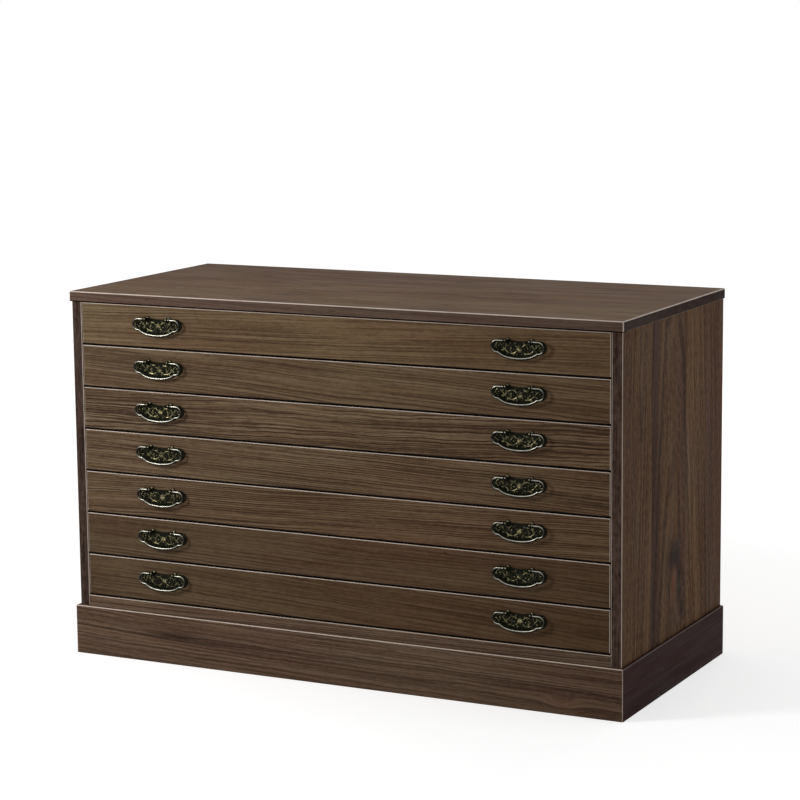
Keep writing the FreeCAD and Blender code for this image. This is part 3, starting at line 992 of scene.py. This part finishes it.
def leaf(shape, centre, angle_deg, length, width, height, root):
    """Adds a domed leaf with a middle crease on the plate's face, with its rim sunk by its root."""
    angle = math.radians(angle_deg)
    ahead = Vector((math.cos(angle), 0, math.sin(angle)))
    aside = Vector((-math.sin(angle), 0, math.cos(angle)))
    grid = []
    for row in range(leaf_rows + 1):
        share = row / leaf_rows
        half = width / 2 * math.sin(math.pi * share ** leaf_round_power) ** leaf_round_power
        half += width * leaf_tip_share
        dome_share = min(1.0, share * (1 - dome_start_share) + dome_start_share)
        line = []
        for column in range(leaf_columns + 1):
            side = 2 * column / leaf_columns - 1
            dome = math.sqrt(max(0.0, 1 - side * side)) * math.sin(math.pi * dome_share) ** dome_power
            crease = math.exp(-(side / crease_width_share) ** 2) * math.sin(math.pi * share)
            rise = height * (dome - crease_depth_share * crease) - root
            point = centre + ahead * (share * length) + aside * (side * half)
            line.append(shape.verts.new(Vector((point.x, plate_face_y - rise, point.z))))
        grid.append(line)
    for first, second in zip(grid, grid[1:]):
        for column in range(leaf_columns):
            shape.faces.new((first[column], first[column + 1], second[column + 1], second[column]))


def bud(shape, centre, radius, height):
    """Adds a small dome on the plate's face."""
    profile = [(run * height, size * radius) for run, size in bud_shares]
    base = Vector((centre.x, plate_face_y, centre.z))
    turned(shape, profile, base, Vector((0, 1, 0)), bud_sides)


def plate_outline(margin):
    """The closed outline of a plate round its middle: bow, lobes, bosses and the dip between."""
    edge = outline(margin)
    top = edge[-1][1]
    dip_half = post_half_spacing - boss_radius
    dip_radius = (dip_half ** 2 + plate_dip ** 2) / (2 * plate_dip)
    dip_z = top - plate_dip + dip_radius
    boss = boss_radius + margin - plate_margin
    start = math.asin(min(1.0, top / boss))
    for step in range(boss_steps + 1):
        angle = start + (math.pi - 2 * start) * step / boss_steps
        edge.append((post_half_spacing + boss * math.cos(angle), boss * math.sin(angle)))
    for step in range(1, dip_steps):
        x = dip_half * (1 - step / dip_steps)
        edge.append((x, dip_z - math.sqrt(dip_radius ** 2 - x ** 2)))
    mirrored = [(-x, z) for x, z in reversed(edge)]
    return edge + [(0.0, top - plate_dip)] + mirrored[:-1]


def plate_base(shape, centre):
    """Adds a plate with a bevelled raised rim round a sunk ground."""
    levels = [(plate_margin, front_y)]
    levels += [(plate_margin - inset, plate_face_y + depth) for inset, depth in in_metres(rim_steps_mm)]
    rings = []
    for margin, y in levels:
        rings.append([shape.verts.new((centre.x + x, y, centre.z + z)) for x, z in plate_outline(margin)])
    closed_tube(shape, rings)


def flower(shape, centre):
    """Adds the flower in the middle: two rounds of petals and a bud."""
    turn = 360 / petal_count
    for step in range(petal_count):
        leaf(shape, centre, turn * (step + 0.5), **outer_petal)
    for step in range(petal_count):
        leaf(shape, centre, turn * step, **inner_petal)
    bud(shape, centre, **flower_bud)


def scrolls(shape, centre, sign):
    """Adds the stems, leaves and buds of one half of a plate."""
    for radius, places in relief_stems:
        points = [centre + Vector((sign * x * mm, 0, z * mm)) for x, z in places]
        path = [Vector((point.x, plate_face_y - stem_lift, point.z)) for point in smooth_path(points)]
        last = len(path) - 1
        radii = [radius * mm * (1 - stem_taper_share * index / last) for index in range(last + 1)]
        swept(shape, path, radii, stem_sides)
    for x, z, angle, length, width in relief_leaves:
        base = centre + Vector((sign * x * mm, 0, z * mm))
        turn = angle if sign > 0 else 180 - angle
        leaf(shape, base, turn, length * mm, width * mm, relief_height, relief_root)
    for x, z, radius in relief_buds:
        bud(shape, centre + Vector((sign * x * mm, 0, z * mm)), radius * mm, relief_height)


def plate_mesh(name, centres):
    """Cast plates: a raised rim, a flower in the middle and leafy scrolls towards both ends."""
    shape = bmesh.new()
    for centre in centres:
        plate_base(shape, centre)
        flower(shape, centre - Vector((0, 0, flower_drop)))
        for sign in (-1, 1):
            scrolls(shape, centre, sign)
    return finished(shape, name)


def make_pulls(number, metals):
    """The pulls of one drawer: plates and posts ride on the drawer, each bail on its own body."""
    name = "drawer_" + str(number)
    centres = [pull_centre(number, side) for side in sides]
    plates = piece(name + "_plates_relief", plate_mesh(name + "_plates_relief", centres),
                   metals["plate"], name)
    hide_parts(name + "_pull_plates")
    eyes = [centre + Vector((sign * post_half_spacing, 0, 0)) for centre in centres for sign in (-1, 1)]
    posts = piece(name + "_eye_posts", post_mesh(name + "_eye_posts", eyes), metals["post"], name)
    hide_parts(name + "_pull_posts")
    for side, centre in zip(sides, centres):
        title = name + "_" + side
        wire = piece(title + "_bail_cast", bail_mesh(title + "_bail_cast", centre), metals["bail"],
                     title + "_bail")
        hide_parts(title + "_pull")


# Stage, light and camera


def make_floor():
    """A wide pale floor that shows white to the camera and keeps the chest's shadow."""
    bpy.ops.mesh.primitive_plane_add(size=floor_width)
    floor = bpy.context.object
    floor.name = "floor"
    material = bpy.data.materials.new("floor_white")
    shader = Shader(material)
    distance = shader.add("ShaderNodeVectorMath", {0: shader.place()}, operation="LENGTH").outputs["Value"]
    level = shader.span(distance, *floor_glow_distances, *floor_glow_levels)
    inputs = {
        "Base Color": colour(floor_grey, floor_grey, floor_grey),
        "Roughness": floor_roughness,
        "Specular IOR Level": 0.0,
        "Emission Color": colour(1, 1, 1),
        "Emission Strength": shader.maths("MULTIPLY", shader.seen_rays(), level),
    }
    shader.feed_all(shader.surface, inputs)
    floor.data.materials.append(material)


def make_surround():
    """A white surround to look at, which lights the chest with a softer strength."""
    world = bpy.data.worlds.new("surround")
    bpy.context.scene.world = world
    shader = Shader(world, "Background")
    strength = shader.span(shader.seen_rays(), 0.0, 1.0, surround_strength, 1.0, smooth=False)
    shader.feed_all(shader.surface, {"Color": colour(1, 1, 1), "Strength": strength})


def add_lamp(name, place, target, size, power):
    """A square soft lamp that faces a target."""
    data = bpy.data.lights.new(name, "AREA")
    data.size = size
    data.energy = power
    lamp = bpy.data.objects.new(name, data)
    lamp.location = place
    lamp.rotation_euler = (Vector(target) - Vector(place)).to_track_quat("-Z", "Y").to_euler()
    bpy.context.scene.collection.objects.link(lamp)


def make_camera():
    """A view from the right and a little above, as in the photograph."""
    azimuth = math.radians(camera_azimuth_deg)
    elevation = math.radians(camera_elevation_deg)
    roll = math.radians(camera_roll_deg)
    back = Vector((math.sin(azimuth) * math.cos(elevation), -math.cos(azimuth) * math.cos(elevation),
                   math.sin(elevation)))
    right = Vector((math.cos(azimuth), math.sin(azimuth), 0))
    up = back.cross(right)
    rolled_right = right * math.cos(roll) + up * math.sin(roll)
    rolled_up = up * math.cos(roll) - right * math.sin(roll)
    data = bpy.data.cameras.new("camera")
    data.sensor_width = sensor_width_mm
    data.lens = focal_length_px / picture_width_px * sensor_width_mm
    camera = bpy.data.objects.new("camera", data)
    turn = Matrix((rolled_right, rolled_up, back)).transposed().to_4x4()
    camera.matrix_world = Matrix.Translation(Vector(camera_place)) @ turn
    bpy.context.scene.collection.objects.link(camera)
    bpy.context.scene.camera = camera


# The scene
bpy.context.scene.view_settings.view_transform = "Standard"
make_camera()
make_floor()
make_surround()
for lamp_values in lamps:
    add_lamp(*lamp_values)
dress_top()
dress_side_panels()
dress_rail()
dress_plinth()
dress_hidden_boards()
metals = {
    "plate": aged_metal("plate_metal", brass_bright, brass_patina, brass_roughness, relief_depths),
    "post": aged_metal("post_metal", post_highlight, brass_patina, brass_roughness),
    "bail": aged_metal("bail_metal", bail_highlight, bail_patina, bail_roughness),
}
for drawer_number in drawer_numbers:
    dress_drawer(drawer_number)
    make_pulls(drawer_number, metals)
